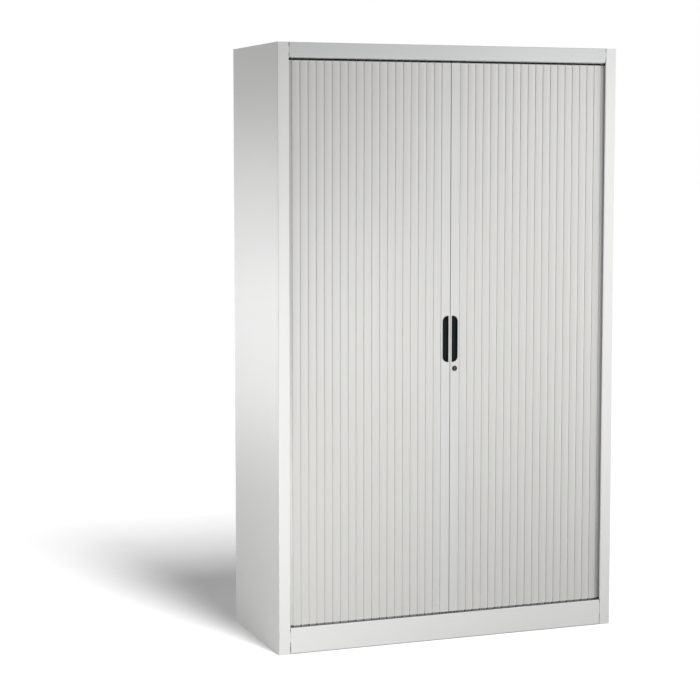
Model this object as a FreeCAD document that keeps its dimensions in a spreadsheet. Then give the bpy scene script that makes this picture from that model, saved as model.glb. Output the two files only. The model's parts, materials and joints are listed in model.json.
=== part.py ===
"""Tall steel tool cabinet with two roller-shutter leaves.

The leaves part in the middle and slide sideways. Each is a closing bar and a curtain of
hinged upright slats, whose guide pins run in an upper and a lower track. The tracks go
round the front corner, along the side and round the rear corner. Millimetres, +Z up, the
front faces -Y, and the origin lies on the floor under the middle of the cabinet.
"""
import FreeCAD, Part
import math
import operator
import os
from types import SimpleNamespace

import Sketcher

# Driving dimensions: name, value, what it measures
DRIVING_SIZES = (
    ("cabinet_width", 1200, "over the side panels"),
    ("cabinet_depth", 480, "from the stiles to the rear flanges"),
    ("cabinet_height", 1970, "from the floor to the top panel"),
    ("sheet_gauge", 1, "sheet steel of the carcass"),
    ("bend_radius", 2, "outside of a folded edge"),
    ("seat_gap", 0.3, "between sheet pieces that lie against each other"),
    ("joint_gap", 1.8, "visible joint between stile and rail or plinth"),
    ("cut_overrun", 2, "how far every cut passes its piece"),
    ("stile_width", 38, "front face of a side panel"),
    ("stile_lip", 6, "turned-in edge of stile and rail"),
    ("rear_flange", 20, "turned-in rear edge of the side panels"),
    ("rail_height", 47, "front face of the top panel"),
    ("top_fold", 24, "down-turned side and rear edges of the top panel"),
    ("plinth_height", 86, "plinth face above the floor"),
    ("plinth_foot_lip", 20, "turned-in lower edge of the plinth"),
    ("plinth_top_lip", 4.5, "turned-in upper edge of the plinth"),
    ("floor_gap", 1.5, "under the plinth and the rear rail"),
    ("base_flange", 33, "down-turned front and rear edges of the base panel"),
    ("head_flange", 20, "up-turned front edge of the head panel"),
    ("curtain_recess", 9, "slat faces behind the stile face"),
    ("slat_thickness", 8, "front to back"),
    ("slat_pitch", 27.2, "from hinge line to hinge line"),
    ("slats_per_leaf", 23, "count, corner and tail slats among them"),
    ("slat_crown", 0.7, "rise of a slat's face between its edges"),
    ("slat_wall", 1.1, "wall of the hollow slat"),
    ("hook_bead_radius", 1.3, "rounded edge that hangs in the next slat"),
    ("hook_clearance", 0.2, "between bead and socket"),
    ("hook_wall", 0.7, "round the socket"),
    ("hook_lip", 0.9, "slat face past the hinge line"),
    ("hook_neck", 1.2, "web between bead and slat"),
    ("slat_back_taper", 3.6, "back face set in from each hinge line"),
    ("bar_width", 31, "closing bar across its face"),
    ("bar_depth", 16, "closing bar, front to back"),
    ("bar_wall", 1.5, "closing bar's wall"),
    ("meeting_gap", 2, "between the closed leaves"),
    ("lower_reveal", 6, "from the plinth's top edge up to the slats"),
    ("upper_reveal", 10, "from the slats up to the rail's lower edge"),
    ("plug_depth", 15, "end plug inside its slat or bar"),
    ("plug_plate", 2, "end plug outside its slat or bar"),
    ("plug_clearance", 0.2, "between end plug and slat"),
    ("guide_pin_radius", 1.8, "guide pin on an end plug"),
    ("guide_pin_inset", 7, "bar's guide pins from the bar's edges"),
    ("running_gap", 0.3, "under the lower guide pins"),
    ("pin_headroom", 2, "over the upper guide pins"),
    ("pin_show", 5, "upper guide pins below their track"),
    ("track_width", 14, "across a guide track"),
    ("lower_track_height", 13, "floor track, top to bottom"),
    ("upper_track_height", 16, "head track, top to bottom"),
    ("groove_width", 4.4, "groove in a guide track"),
    ("track_floor", 2, "below the lower groove"),
    ("track_roof", 4, "above the upper groove"),
    ("corner_bend", 45, "track's middle round the front corner"),
    ("rear_track_inset", 15, "track's middle in front of the rear face"),
    ("rear_track_run", 150, "track along the back, from the corner bend's end"),
    ("stop_length", 10, "stop block at a track's end"),
    ("lining_inset", 30, "side lining inside the cabinet's side face"),
    ("lining_setback", 33, "side lining behind the front face"),
    ("lining_rear_gap", 32, "side lining in front of the rear face"),
    ("lining_return", 8, "turned-in edges of a side lining"),
    ("shelf_front_gap", 4, "shelf behind the side lining's front"),
    ("shelf_rear_gap", 3, "shelf in front of the side lining's rear"),
    ("shelf_side_gap", 1, "shelf beside the uprights"),
    ("shelf_height", 30, "shelf with its edge channels, top to bottom"),
    ("channel_flange", 12, "flanges of a shelf's edge channels"),
    ("floor_rise", 2, "raised floor above the plinth's top edge"),
    ("floor_front_gap", 0.3, "raised floor behind the track"),
    ("upright_width", 30, "slotted upright"),
    ("upright_gauge", 2, "slotted upright's sheet"),
    ("upright_offset", 150, "uprights in front of and behind the middle"),
    ("upright_end_gap", 2, "upright above the raised floor and under the head"),
    ("slot_start", 45, "first slot above the raised floor"),
    ("slot_pitch", 25, "from slot to slot"),
    ("slot_count", 71, "slots in an upright"),
    ("slot_height", 4, "slot, top to bottom"),
    ("slot_width", 14, "slot across the upright"),
    ("first_shelf_slot", 13, "slots below the lowest shelf's clips"),
    ("shelf_step", 15, "slots from shelf to shelf"),
    ("shelf_count", 4, "adjustable shelves"),
    ("clip_gauge", 3, "shelf clip's tongue"),
    ("clip_width", 12, "shelf clip across"),
    ("clip_reach", 11, "clip's tongue under the shelf"),
    ("clip_leg", 12, "clip's leg down the upright"),
    ("clip_leg_gauge", 2, "clip's leg, thickness"),
    ("cup_height", 154, "finger cup"),
    ("cup_width", 21.3, "finger cup"),
    ("cup_edge_margin", 4.7, "cup from the bar's closing edge"),
    ("cup_centre_height", 1008.5, "above the floor"),
    ("cup_corner_radius", 18.3, "rounded side of the finger cup"),
    ("cup_small_radius", 0.9, "straight side's corners of the finger cup"),
    ("cup_rim", 0.8, "cup's rim in front of the bar"),
    ("cup_rim_overlap", 0.6, "rim over the bar's face"),
    ("cup_fit", 0.3, "between the cup and its cut-out"),
    ("cup_wall", 1, "cup's wall and floor"),
    ("cup_depth", 12, "cup behind the bar's face"),
    ("lock_drop", 21.5, "lock's axis below the finger cup"),
    ("lock_rim_radius", 9, "lock housing's rim"),
    ("lock_rim", 1, "rim in front of the bar"),
    ("lock_barrel_radius", 8.4, "lock housing in the bar"),
    ("lock_hole_fit", 0.1, "between barrel and bar"),
    ("lock_barrel_proud", 2.3, "barrel behind the bar"),
    ("plug_radius", 6, "turning plug"),
    ("turning_fit", 0.05, "running clearance round plug and stud"),
    ("key_slot_width", 1.4, "key slot"),
    ("key_slot_height", 7, "key slot"),
    ("key_slot_depth", 8, "key slot"),
    ("lock_nut_radius", 11, "corner radius of the lock's nut"),
    ("lock_nut_height", 2, "lock's nut"),
    ("cam_gauge", 2, "hook cam"),
    ("cam_hub_radius", 8, "hook cam"),
    ("cam_width", 12, "hook cam's arm"),
    ("cam_reach", 37, "hook cam's arm from the lock's axis"),
    ("cam_corner_radius", 3, "hook cam's tip"),
    ("cam_screw_radius", 2, "screw that holds the cam"),
    ("cam_screw_head_radius", 4, "screw that holds the cam"),
    ("cam_screw_head", 2, "screw that holds the cam, head"),
    ("cam_screw_length", 6, "screw in the plug"),
    ("strike_reach", 30.5, "strike pin from the lock's axis"),
    ("strike_pin_radius", 2.5, "strike pin"),
    ("strike_pin_length", 5, "strike pin behind its plate"),
    ("strike_clearance", 0.6, "between pin and cam"),
    ("strike_plate_inset", 1, "strike plate from the bar's closing edge"),
    ("strike_plate_width", 26, "strike plate"),
    ("strike_plate_height", 34, "strike plate"),
    ("strike_plate_gauge", 1.5, "strike plate"),
    ("foot_inset_x", 45, "levelling foot from the cabinet's side face"),
    ("foot_inset_y", 50, "levelling foot from the front or rear face"),
    ("foot_radius", 20, "levelling foot's pad"),
    ("foot_rim", 4, "pad's outer edge height"),
    ("foot_neck_radius", 10, "top of the pad"),
    ("foot_height", 12, "pad"),
    ("foot_socket_floor", 5, "pad under the stud"),
    ("stud_radius", 5, "threaded stud"),
    ("stud_top", 66, "stud's upper end above the floor"),
    ("stud_collar_radius", 8, "corner radius of the stud's hexagon"),
    ("stud_collar_height", 6, "stud's hexagon"),
    ("bracket_height", 30, "foot bracket above the floor"),
    ("bracket_gauge", 4, "foot bracket's plate"),
    ("bracket_width", 40, "foot bracket"),
    ("bracket_length", 75, "foot bracket from the side panel"),
    ("bracket_wall_height", 38, "foot bracket's upright leg"),
    ("bracket_wall", 3, "foot bracket's upright leg"),
    ("bracket_nut_radius", 9, "corner radius of the welded nut"),
    ("bracket_nut_height", 8, "welded nut"),
    ("hat_half_width", 23, "rear stiffener's crown"),
    ("hat_flange", 22, "rear stiffener's flanges"),
    ("hat_depth", 20, "rear stiffener, front to back"),
    ("rivet_offset", 34, "rivet rows beside the rear seam"),
    ("rivet_count", 6, "rivets in a row"),
    ("rivet_margin", 90, "first rivet above the stiffener's foot"),
    ("rivet_radius", 2, "rivet's shank"),
    ("rivet_head_radius", 4, "rivet's head"),
    ("rivet_head", 1.1, "rivet's head, height"),
    ("rivet_grip", 1.5, "shank past the stiffener's flange"),
    ("hole_fit", 0.1, "hole round a rivet or screw"),
)

QUARTER_TURN = 90
HEXAGON_SIDES = 6
MM3_PER_CM3 = 1000

doc = FreeCAD.newDocument("RollFrontCabinet")
sheet = doc.addObject("Spreadsheet::Sheet", "Sizes")
for row, (alias, value, note) in enumerate(DRIVING_SIZES, start=1):
    sheet.set(f"A{row}", note)
    sheet.set(f"B{row}", str(value))
    sheet.setAlias(f"B{row}", alias)
doc.recompute()


class Size:
    """A number together with the formula that ties it to the sheet's cells."""

    def __init__(self, value, formula):
        self.value = value
        self.formula = formula

    def __add__(self, other):
        return joined(self, "+", other)

    def __radd__(self, other):
        return joined(other, "+", self)

    def __sub__(self, other):
        return joined(self, "-", other)

    def __rsub__(self, other):
        return joined(other, "-", self)

    def __mul__(self, other):
        return joined(self, "*", other)

    def __rmul__(self, other):
        return joined(other, "*", self)

    def __truediv__(self, other):
        return joined(self, "/", other)

    def __neg__(self):
        return joined(-1, "*", self)


OPERATIONS = {"+": operator.add, "-": operator.sub, "*": operator.mul, "/": operator.truediv}


def as_size(number):
    return number if isinstance(number, Size) else Size(number, repr(number))


def joined(first, sign, second):
    first, second = as_size(first), as_size(second)
    value = OPERATIONS[sign](first.value, second.value)
    return Size(value, f"({first.formula} {sign} {second.formula})")


def bind(thing, prop, size):
    """The property follows the size's formula."""
    thing.setExpression(prop, as_size(size).formula)


dim = SimpleNamespace(**{
    alias: Size(float(sheet.get(alias)), f"Sizes.{alias}") for alias, _, _ in DRIVING_SIZES
})

LEFT, RIGHT = -1, 1
SIDES = {LEFT: "left", RIGHT: "right"}

# Places that several pieces share, from the cabinet's middle, floor and front
half_width = dim.cabinet_width / 2
half_depth = dim.cabinet_depth / 2
top = dim.cabinet_height
side_inner = half_width - dim.sheet_gauge
opening_half = half_width - dim.stile_width
sheet_reach = side_inner - dim.seat_gap
front_inner = -half_depth + dim.sheet_gauge + dim.seat_gap
rear_inner = half_depth - dim.sheet_gauge - dim.seat_gap
rear_sheet_front = rear_inner - dim.sheet_gauge
rail_bottom = top - dim.rail_height

base_top = dim.plinth_height - dim.lower_track_height
floor_top = dim.plinth_height + dim.floor_rise
slat_bottom = dim.plinth_height + dim.lower_reveal
slat_top = rail_bottom - dim.upper_reveal
upper_track_bottom = slat_top + dim.plug_plate + dim.pin_show
head_bottom = upper_track_bottom + dim.upper_track_height

curtain_middle = dim.curtain_recess + dim.slat_thickness / 2
track_front = -half_depth + curtain_middle
track_side = half_width - curtain_middle
track_rear = half_depth - dim.rear_track_inset
rear_bend = dim.stile_width - curtain_middle
front_run = track_side - dim.corner_bend
bar_front = -half_depth + dim.curtain_recess
bar_back = bar_front + dim.bar_depth
leaf_edge = dim.meeting_gap / 2

lining_outer = half_width - dim.lining_inset
lining_inner = lining_outer - dim.sheet_gauge
lining_front = -half_depth + dim.lining_setback
lining_rear = half_depth - dim.lining_rear_gap

nodes = {}


def node(name, thing):
    """Names the finished piece; its shape is written under that name."""
    thing.Label = name
    nodes[name] = thing
    return thing


# Sketch planes: the origin plane's role, and which way its normal points along the axis
PLANES = {"XY": ("XY_Plane", 1), "XZ": ("XZ_Plane", -1), "YZ": ("YZ_Plane", 1)}


def new_body(name):
    return doc.addObject("PartDesign::Body", name)


def sketch_on(body, plane, start):
    """An empty sketch on the plane, start away from the origin."""
    role, facing = PLANES[plane]
    sketch = body.newObject("Sketcher::SketchObject", body.Name + "Sketch")
    origin_plane = next(f for f in body.Origin.OriginFeatures if f.Role == role)
    sketch.AttachmentSupport = (origin_plane, [""])
    sketch.MapMode = "FlatFace"
    bind(sketch, "AttachmentOffset.Base.z", facing * start)
    return sketch


def hold(sketch, kind, line, end, size):
    """Fixes one coordinate of a line's end, measured from the sketch's origin."""
    size = as_size(size)
    index = sketch.addConstraint(Sketcher.Constraint(kind, -1, 1, line, end, size.value))
    sketch.setExpression(f"Constraints[{index}]", size.formula)


def towards(corner, other, radius):
    """The point radius away from corner on the level or plumb run to the other corner."""
    (x, y), (other_x, other_y) = corner, other
    step_x = as_size(other_x).value - as_size(x).value
    step_y = as_size(other_y).value - as_size(y).value
    if abs(step_x) > abs(step_y):
        return x + radius * int(math.copysign(1, step_x)), y
    return x, y + radius * int(math.copysign(1, step_y))


def vector(point):
    return FreeCAD.Vector(as_size(point[0]).value, as_size(point[1]).value, 0)


def add_bend(sketch, corner, before, after, radius, line_in, line_out):
    """A quarter arc in a square corner, from line_in's end to line_out's start."""
    start, end, middle = vector(before), vector(after), vector(corner)
    centre = start + end - middle
    turn = (start - centre).cross(end - centre).z
    first, last = (start, end) if turn > 0 else (end, start)
    angles = [math.atan2(p.y - centre.y, p.x - centre.x) for p in (first, last)]
    circle = Part.Circle(centre, FreeCAD.Vector(0, 0, 1), as_size(radius).value)
    arc = sketch.addGeometry(Part.ArcOfCircle(circle, *angles), False)
    start_end, end_end = (1, 2) if turn > 0 else (2, 1)
    sketch.addConstraint(Sketcher.Constraint("Coincident", line_in, 2, arc, start_end))
    sketch.addConstraint(Sketcher.Constraint("Coincident", line_out, 1, arc, end_end))
    index = sketch.addConstraint(
        Sketcher.Constraint("Radius", arc, as_size(radius).value))
    bind(sketch, f"Constraints[{index}]", radius)


def outline(sketch, corners):
    """Closed outline of straight runs. A corner is (x, y), or (x, y, radius) where it is bent."""
    count = len(corners)
    stops = []
    for i, corner in enumerate(corners):
        if len(corner) == 2:
            stops.append((corner, corner))
            continue
        here = corner[:2]
        before, after = corners[i - 1][:2], corners[(i + 1) % count][:2]
        stops.append((towards(here, before, corner[2]), towards(here, after, corner[2])))
    lines = []
    for i in range(count):
        start, end = stops[i][1], stops[(i + 1) % count][0]
        line = sketch.addGeometry(Part.LineSegment(vector(start), vector(end)), False)
        hold(sketch, "DistanceX", line, 1, start[0])
        hold(sketch, "DistanceY", line, 1, start[1])
        lines.append(line)
        if len(corners[(i + 1) % count]) == 3:
            hold(sketch, "DistanceX", line, 2, end[0])
            hold(sketch, "DistanceY", line, 2, end[1])
    for i in range(count):
        if len(corners[i]) == 3:
            add_bend(sketch, corners[i][:2], *stops[i], corners[i][2], lines[i - 1], lines[i])
        else:
            sketch.addConstraint(
                Sketcher.Constraint("Coincident", lines[i - 1], 2, lines[i], 1))


def circle(sketch, x, y, radius):
    centre = vector((x, y))
    ring = Part.Circle(centre, FreeCAD.Vector(0, 0, 1), as_size(radius).value)
    index = sketch.addGeometry(ring, False)
    hold(sketch, "DistanceX", index, 3, x)
    hold(sketch, "DistanceY", index, 3, y)
    held = sketch.addConstraint(Sketcher.Constraint("Radius", index, as_size(radius).value))
    bind(sketch, f"Constraints[{held}]", radius)


def draw(sketch, shapes):
    """Each shape is a list of outline corners, or a tuple (x, y, radius) for a circle."""
    for shape in shapes:
        if isinstance(shape, tuple):
            circle(sketch, *shape)
        else:
            outline(sketch, shape)


def add(body, plane, start, length, *shapes):
    """Adds material: the shapes, drawn at start, carried length along the plane's axis."""
    sketch = sketch_on(body, plane, start)
    draw(sketch, shapes)
    pad = body.newObject("PartDesign::Pad", body.Name + "Pad")
    pad.Profile = sketch
    bind(pad, "Length", length)
    pad.Reversed = PLANES[plane][1] < 0
    sketch.Visibility = False
    return pad


cuts = []


def cut(body, plane, start, length, *shapes):
    """Takes material away, in the same direction as add."""
    sketch = sketch_on(body, plane, start)
    draw(sketch, shapes)
    pocket = body.newObject("PartDesign::Pocket", body.Name + "Pocket")
    pocket.Profile = sketch
    bind(pocket, "Length", length)
    pocket.Reversed = PLANES[plane][1] > 0
    sketch.Visibility = False
    cuts.append(pocket)
    return pocket


def repeat(body, feature, axis, pitch, count):
    """Repeats the feature count times, pitch apart, along an origin axis of its body."""
    pattern = body.newObject("PartDesign::LinearPattern", body.Name + "Pattern")
    pattern.Originals = [feature]
    direction = next(f for f in body.Origin.OriginFeatures if f.Role == axis)
    pattern.Direction = (direction, [""])
    pattern.Mode = "Spacing"
    bind(pattern, "Offset", pitch)
    bind(pattern, "Occurrences", count)
    body.Tip = pattern
    return pattern


def rectangle(x1, y1, x2, y2):
    return [(x1, y1), (x2, y1), (x2, y2), (x1, y2)]


def placed(thing, x, y, z):
    for axis, size in zip("xyz", (x, y, z)):
        bind(thing, f"Placement.Base.{axis}", size)
    return thing


def block(name, low, high):
    """A plain block between two opposite corners."""
    box = doc.addObject("Part::Box", name)
    for prop, a, b in zip(("Length", "Width", "Height"), low, high):
        bind(box, prop, as_size(b) - a)
    return placed(box, *low)


def rod(name, radius, low, length):
    """A plumb cylinder that stands on the point low."""
    cylinder = doc.addObject("Part::Cylinder", name)
    bind(cylinder, "Radius", radius)
    bind(cylinder, "Height", length)
    return placed(cylinder, *low)


def facing_back(thing):
    """Turns a plumb primitive so that its axis runs towards +Y."""
    turned = FreeCAD.Rotation(FreeCAD.Vector(1, 0, 0), -QUARTER_TURN)
    thing.Placement = FreeCAD.Placement(thing.Placement.Base, turned)
    return thing


def pin_back(name, radius, start, length):
    """A cylinder whose axis runs towards +Y from the point start."""
    return facing_back(rod(name, radius, start, length))


def hexagon(name, radius, low, height):
    prism = doc.addObject("Part::Prism", name)
    prism.Polygon = HEXAGON_SIDES
    bind(prism, "Circumradius", radius)
    bind(prism, "Height", height)
    return placed(prism, *low)


def fused(name, *pieces):
    thing = doc.addObject("Part::MultiFuse", name)
    thing.Shapes = list(pieces)
    return thing


def cut_from(name, base, tool):
    thing = doc.addObject("Part::Cut", name)
    thing.Base = base
    thing.Tool = tool
    return thing


def group(name, pieces):
    """Separate solids of one kind under one name."""
    thing = doc.addObject("Part::Compound", name)
    thing.Links = list(pieces)
    return node(name, thing)


# Carcass

def side_panel(side):
    """Sheet folded into a front stile with a lip beside the opening, and a rear flange."""
    body = new_body(f"{SIDES[side]}_side_panel")
    gauge, bend = dim.sheet_gauge, dim.bend_radius
    lip_end = -half_depth + dim.stile_lip
    corners = [
        (side * half_width, half_depth, bend),
        (side * half_width, -half_depth, bend),
        (side * opening_half, -half_depth, bend),
        (side * opening_half, lip_end),
        (side * (opening_half + gauge), lip_end),
        (side * (opening_half + gauge), -half_depth + gauge, bend - gauge),
        (side * side_inner, -half_depth + gauge, bend - gauge),
        (side * side_inner, half_depth - gauge, bend - gauge),
        (side * (half_width - dim.rear_flange), half_depth - gauge),
        (side * (half_width - dim.rear_flange), half_depth),
    ]
    add(body, "XY", 0, top, corners)
    lip = rectangle(side * (opening_half - dim.cut_overrun), -half_depth + gauge,
                    side * (opening_half + bend), lip_end + dim.cut_overrun)
    for low, high in ((-dim.cut_overrun, dim.plinth_height), (rail_bottom, top + dim.cut_overrun)):
        cut(body, "XY", low, high - low, lip)
    return node(body.Name, body)


def top_panel():
    """Lid with its front rail, rear fold and side folds."""
    body = new_body("top_panel")
    gauge, bend = dim.sheet_gauge, dim.bend_radius
    lip_end = -half_depth + dim.stile_lip
    rail_half = opening_half - dim.joint_gap
    profile = [
        (-half_depth, top, bend),
        (-half_depth, rail_bottom, bend),
        (lip_end, rail_bottom),
        (lip_end, rail_bottom + gauge),
        (-half_depth + gauge, rail_bottom + gauge, bend - gauge),
        (-half_depth + gauge, top - gauge, bend - gauge),
        (half_depth - gauge, top - gauge, bend - gauge),
        (half_depth - gauge, top - dim.top_fold),
        (half_depth, top - dim.top_fold),
        (half_depth, top, bend),
    ]
    add(body, "YZ", -rail_half, 2 * rail_half, profile)
    add(body, "XY", top - gauge, gauge,
        rectangle(-sheet_reach, front_inner, sheet_reach, rear_inner))
    for side in SIDES:
        add(body, "XY", top - dim.top_fold, dim.top_fold,
            rectangle(side * (sheet_reach - gauge), front_inner,
                      side * sheet_reach, rear_sheet_front - dim.seat_gap))
    return node(body.Name, body)


def back_panel(side):
    """Flat half of the back, held to the stiffener by a row of rivets."""
    body = new_body(f"{SIDES[side]}_back_panel")
    seam = dim.joint_gap / 2
    add(body, "XZ", rear_sheet_front, dim.sheet_gauge,
        rectangle(side * seam, dim.floor_gap, side * sheet_reach, top - dim.sheet_gauge - dim.seat_gap))
    rivet_hole_row(body, side)
    return node(body.Name, body)


hat_bottom = base_top
hat_top = head_bottom
rivet_first = hat_bottom + dim.rivet_margin
rivet_pitch = (hat_top - hat_bottom - 2 * dim.rivet_margin) / (dim.rivet_count - 1)


def rivet_hole_row(body, side):
    """Rivet holes through a sheet at the back, beside the seam."""
    start = rear_sheet_front - dim.sheet_gauge - dim.cut_overrun
    hole = cut(body, "XZ", start, 2 * dim.sheet_gauge + 2 * dim.cut_overrun,
               (side * dim.rivet_offset, rivet_first, dim.rivet_radius + dim.hole_fit))
    repeat(body, hole, "Z_Axis", rivet_pitch, dim.rivet_count)


def back_stiffener():
    """Hat section behind the seam of the back panels, its flanges against them."""
    body = new_body("back_stiffener")
    gauge = dim.sheet_gauge
    back = rear_sheet_front
    crown = back - dim.hat_depth
    inner, outer = dim.hat_half_width, dim.hat_half_width + dim.hat_flange
    corners = [
        (-outer, back), (-outer, back - gauge), (-inner, back - gauge), (-inner, crown),
        (inner, crown), (inner, back - gauge), (outer, back - gauge), (outer, back),
        (inner - gauge, back), (inner - gauge, crown + gauge),
        (-inner + gauge, crown + gauge), (-inner + gauge, back),
    ]
    add(body, "XY", hat_bottom, hat_top - hat_bottom, corners)
    for side in SIDES:
        rivet_hole_row(body, side)
    return node(body.Name, body)


def back_rivets():
    """Domed rivets through back panels and stiffener, heads outside."""
    pieces = []
    shank_front = rear_sheet_front - dim.sheet_gauge - dim.rivet_grip
    for side in SIDES:
        for i in range(int(dim.rivet_count.value)):
            name = f"Rivet{SIDES[side]}{i}"
            at_x, at_z = side * dim.rivet_offset, rivet_first + i * rivet_pitch
            shank = pin_back(name + "Shank", dim.rivet_radius, (at_x, shank_front, at_z),
                             rear_inner - shank_front)
            head = pin_back(name + "Head", dim.rivet_head_radius, (at_x, rear_inner, at_z),
                            dim.rivet_head)
            pieces.append(fused(name, shank, head))
    return group("back_rivets", pieces)


def base_panel():
    """Bottom of the carcass, with down-turned front and rear edges; it carries the tracks."""
    body = new_body("base_panel")
    gauge, bend = dim.sheet_gauge, dim.bend_radius
    back = rear_sheet_front - dim.seat_gap
    low = base_top - dim.base_flange
    profile = [
        (front_inner, base_top, bend), (front_inner, low), (front_inner + gauge, low),
        (front_inner + gauge, base_top - gauge, bend - gauge),
        (back - gauge, base_top - gauge, bend - gauge),
        (back - gauge, low), (back, low), (back, base_top, bend),
    ]
    add(body, "YZ", -sheet_reach, 2 * sheet_reach, profile)
    return node(body.Name, body)


def plinth_panel():
    """Front panel under the shutter, flush with the stiles."""
    body = new_body("plinth_panel")
    gauge, bend = dim.sheet_gauge, dim.bend_radius
    front, low, high = -half_depth, dim.floor_gap, dim.plinth_height
    profile = [
        (front, low, bend), (front + dim.plinth_foot_lip, low),
        (front + dim.plinth_foot_lip, low + gauge), (front + gauge, low + gauge, bend - gauge),
        (front + gauge, high - gauge, bend - gauge), (front + dim.plinth_top_lip, high - gauge),
        (front + dim.plinth_top_lip, high), (front, high, bend),
    ]
    plinth_half = opening_half - dim.joint_gap
    add(body, "YZ", -plinth_half, 2 * plinth_half, profile)
    return node(body.Name, body)


def rear_base_rail():
    """Angle along the foot of the back."""
    body = new_body("rear_base_rail")
    gauge = dim.sheet_gauge
    back = rear_sheet_front - 2 * dim.seat_gap - gauge
    high = base_top - gauge - dim.seat_gap
    inner = back - dim.plinth_foot_lip
    profile = [
        (back, dim.floor_gap, dim.bend_radius), (back, high), (back - gauge, high),
        (back - gauge, dim.floor_gap + gauge, dim.bend_radius - gauge),
        (inner, dim.floor_gap + gauge), (inner, dim.floor_gap),
    ]
    add(body, "YZ", -sheet_reach, 2 * sheet_reach, profile)
    return node(body.Name, body)


def head_panel():
    """Inner ceiling, with an up-turned edge behind the rail; the upper tracks hang from it."""
    body = new_body("head_panel")
    gauge, bend = dim.sheet_gauge, dim.bend_radius
    high = head_bottom + dim.head_flange
    profile = [
        (front_inner, head_bottom, bend), (rear_sheet_front, head_bottom),
        (rear_sheet_front, head_bottom + gauge),
        (front_inner + gauge, head_bottom + gauge, bend - gauge),
        (front_inner + gauge, high), (front_inner, high),
    ]
    reach = sheet_reach - gauge - dim.seat_gap
    add(body, "YZ", -reach, 2 * reach, profile)
    return node(body.Name, body)


# Linings, uprights and shelves

def side_lining(side):
    """Wall between the storage space and the curtain's side pocket."""
    body = new_body(f"{SIDES[side]}_side_lining")
    gauge = dim.sheet_gauge
    edge = lining_outer - dim.lining_return
    corners = [
        (side * lining_outer, lining_front, dim.bend_radius), (side * edge, lining_front),
        (side * edge, lining_front + gauge),
        (side * lining_inner, lining_front + gauge, dim.bend_radius - gauge),
        (side * lining_inner, lining_rear - gauge, dim.bend_radius - gauge),
        (side * edge, lining_rear - gauge), (side * edge, lining_rear),
        (side * lining_outer, lining_rear, dim.bend_radius),
    ]
    add(body, "XY", base_top, head_bottom - base_top, corners)
    return node(body.Name, body)


def rear_lining():
    """Wall between the storage space and the curtain's run along the back."""
    body = new_body("rear_lining")
    front = lining_rear + dim.seat_gap
    add(body, "XY", base_top, head_bottom - base_top,
        rectangle(-lining_inner, front, lining_inner, front + dim.sheet_gauge))
    return node(body.Name, body)


def raised_floor():
    """Storage floor, level with the lower tracks, on the base panel."""
    body = new_body("raised_floor")
    gauge, bend = dim.sheet_gauge, dim.bend_radius
    front = track_front + dim.track_width / 2 + dim.floor_front_gap
    back = lining_rear - gauge - dim.seat_gap
    profile = [
        (front, floor_top, bend), (front, base_top), (front + gauge, base_top),
        (front + gauge, floor_top - gauge, bend - gauge),
        (back - gauge, floor_top - gauge, bend - gauge), (back - gauge, base_top),
        (back, base_top), (back, floor_top, bend),
    ]
    middle_half = front_run - dim.seat_gap
    add(body, "YZ", -middle_half, 2 * middle_half, profile)
    wing_reach = lining_inner - dim.seat_gap
    wing_front = lining_front + gauge + dim.seat_gap
    add(body, "XY", floor_top - gauge, gauge,
        rectangle(-wing_reach, wing_front, wing_reach, back - bend))
    return node(body.Name, body)


upright_bottom = floor_top + dim.upright_end_gap
upright_top = head_bottom - dim.upright_end_gap
upright_inner = lining_inner - dim.upright_gauge
first_slot = floor_top + dim.slot_start


def upright(side, place, y):
    """Slotted strip on the side lining, for the shelf clips."""
    body = new_body(f"{SIDES[side]}_{place}_upright")
    half = dim.upright_width / 2
    start = upright_inner if side == RIGHT else -lining_inner
    add(body, "YZ", start, dim.upright_gauge,
        rectangle(y - half, upright_bottom, y + half, upright_top))
    slot = cut(body, "YZ", start - dim.cut_overrun, dim.upright_gauge + 2 * dim.cut_overrun,
               rectangle(y - dim.slot_width / 2, first_slot - dim.slot_height / 2,
                         y + dim.slot_width / 2, first_slot + dim.slot_height / 2))
    repeat(body, slot, "Z_Axis", dim.slot_pitch, dim.slot_count)
    return node(body.Name, body)


UPRIGHT_PLACES = {"front": -dim.upright_offset, "rear": dim.upright_offset}


def clip_level(index):
    """Top of the clips' tongues under a shelf, counted from the lowest shelf."""
    slots_below = dim.first_shelf_slot + index * dim.shelf_step
    return first_slot + slots_below * dim.slot_pitch + dim.clip_gauge / 2


def edge_channel(index, place, web, inwards):
    """Channel welded under a shelf's edge, its flanges turned in."""
    body = new_body(f"Shelf{index}{place}Channel")
    gauge, bend = dim.sheet_gauge, dim.bend_radius
    high = clip_level(index)
    low = high + gauge - dim.shelf_height
    tip, inner = web + inwards * dim.channel_flange, web + inwards * gauge
    profile = [
        (web, high, bend), (web, low, bend), (tip, low), (tip, low + gauge),
        (inner, low + gauge, bend - gauge), (inner, high - gauge, bend - gauge),
        (tip, high - gauge), (tip, high),
    ]
    add(body, "YZ", -shelf_reach, 2 * shelf_reach, profile)
    return body


shelf_reach = upright_inner - dim.shelf_side_gap


def shelf(index):
    """Flat sheet with a channel under its front edge and one under its rear edge."""
    front = lining_front + dim.shelf_front_gap
    back = lining_rear - dim.shelf_rear_gap
    under = clip_level(index)
    plate = block(f"Shelf{index}Plate", (-shelf_reach, front, under),
                  (shelf_reach, back, under + dim.sheet_gauge))
    return group(f"shelf_{index + 1}", [
        plate, edge_channel(index, "Front", front, 1), edge_channel(index, "Rear", back, -1)])


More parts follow.
